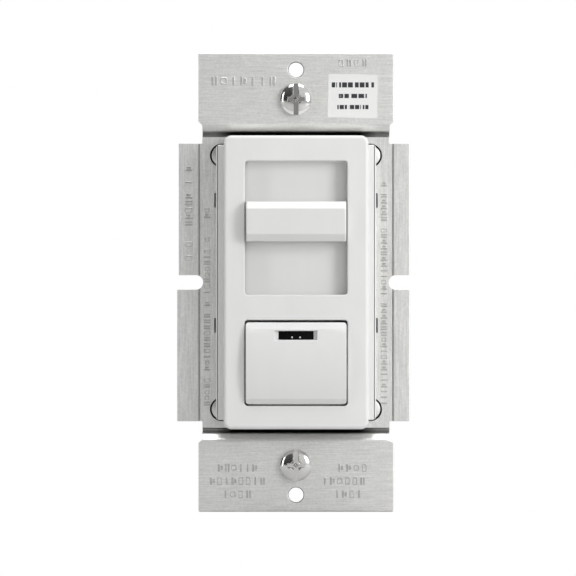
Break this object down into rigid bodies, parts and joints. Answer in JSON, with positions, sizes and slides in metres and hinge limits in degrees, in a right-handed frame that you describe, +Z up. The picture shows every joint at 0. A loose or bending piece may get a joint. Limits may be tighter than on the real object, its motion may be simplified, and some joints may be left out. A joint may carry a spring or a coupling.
{
  "type": "slide dimmer switch",
  "caption": "Wall-box dimmer with a full-width slider, a rocking push pad with a light window, and an aluminium strap with break-off fins.",
  "frame": {"origin": "middle of the two wallplate screw holes, on the back face of the strap's ears, which seats on the wall", "axes": "+Z up along the strap, -Y out of the wall towards the user, +X to the right seen from the front"},
  "size_m": [0.053, 0.0445, 0.1046],
  "materials": {
    "strap_aluminium": "brushed sheet",
    "rivet_aluminium": "plain rivet metal",
    "zinc_steel": "bright zinc plate",
    "fibre": "red-brown vulcanised fibre",
    "label_paper": "white gloss label",
    "white_frame": "satin moulded, white",
    "white_knob": "satin moulded, white",
    "smoked_lens": "smoked, glossy",
    "clear_plastic": "clear, glossy",
    "black_plastic": "fine texture, black",
    "inner_plastic": "moulded, dark grey",
    "rubber": "matte",
    "sheet_fibre": "grey insulating paper",
    "board": "green board",
    "case_steel": "pressed steel",
    "spring_steel": "drawn wire",
    "brass": "tinned brass",
    "track_board": "phenolic board",
    "thermal_film": "grey thermal film",
    "component_black": "moulded, black",
    "ferrite": "painted powder core",
    "copper": "enamelled wire",
    "film_box": "yellow box",
    "can_sleeve": "blue sleeve",
    "varistor_coat": "blue dipped coat",
    "fuse_glass": "ceramic tube",
    "resistor_coat": "tan coat"
  },
  "bodies": {
    "device": {"mounting_strap": "strap_aluminium", "strap_rivets": "rivet_aluminium", "strap_label": "label_paper", "face_frame": "white_frame", "slider_floor": "white_frame", "potentiometer_case": "case_steel", "potentiometer_track": "track_board", "switch_spring": "spring_steel", "switch_case": "inner_plastic", "switch_base": "track_board", "switch_contacts": "brass", "light_pipe": "clear_plastic", "locator_led": "clear_plastic", "back_housing": "black_plastic", "lead_grommet": "rubber", "insulating_sheet": "sheet_fibre", "circuit_board": "board", "thermal_pad": "thermal_film", "power_triac": "component_black", "triac_screw": "zinc_steel", "triac_nut": "zinc_steel", "choke_core": "ferrite", "choke_winding": "copper", "film_capacitor": "film_box", "electrolytic_capacitors": "can_sleeve", "varistor": "varistor_coat", "fuse": "fuse_glass", "resistors": "resistor_coat", "diodes": "component_black", "lead_terminals": "brass"},
    "slider": {"slider_knob": "white_knob", "slider_carriage": "inner_plastic", "potentiometer_lever": "inner_plastic", "wiper_contacts": "brass"},
    "pad": {"push_pad": "white_knob", "locator_lens": "smoked_lens"},
    "plunger": {"switch_plunger": "inner_plastic", "contact_bridge": "brass"},
    "top_screw": {"box_screw_top": "zinc_steel", "screw_keeper_top": "fibre"},
    "bottom_screw": {"box_screw_bottom": "zinc_steel", "screw_keeper_bottom": "fibre"}
  },
  "joints": [
    {"name": "slider_travel", "type": "slide", "parent": "device", "child": "slider", "axis": [0, 0, 1], "range_m": [-0.0116, 0.0087]},
    {"name": "pad_swing", "type": "hinge", "parent": "device", "child": "pad", "pos_m": [0, -0.0049, -0.0103], "axis": [1, 0, 0], "range_deg": [0, 3.5]},
    {"name": "plunger_travel", "type": "slide", "parent": "device", "child": "plunger", "axis": [0, 1, 0], "range_m": [0, 0.000684], "stiffness_N_per_m": 300, "deforming": ["switch_spring"]},
    {"name": "top_screw_turn", "type": "hinge", "parent": "device", "child": "top_screw", "pos_m": [0, 0, 0.04167], "axis": [0, 1, 0], "continuous": true},
    {"name": "bottom_screw_turn", "type": "hinge", "parent": "device", "child": "bottom_screw", "pos_m": [0, 0, -0.04167], "axis": [0, 1, 0], "continuous": true}
  ],
  "couplings": [
    {"joint": "pad_swing", "follows": "plunger_travel", "rad_per_m": 89.286}
  ]
}
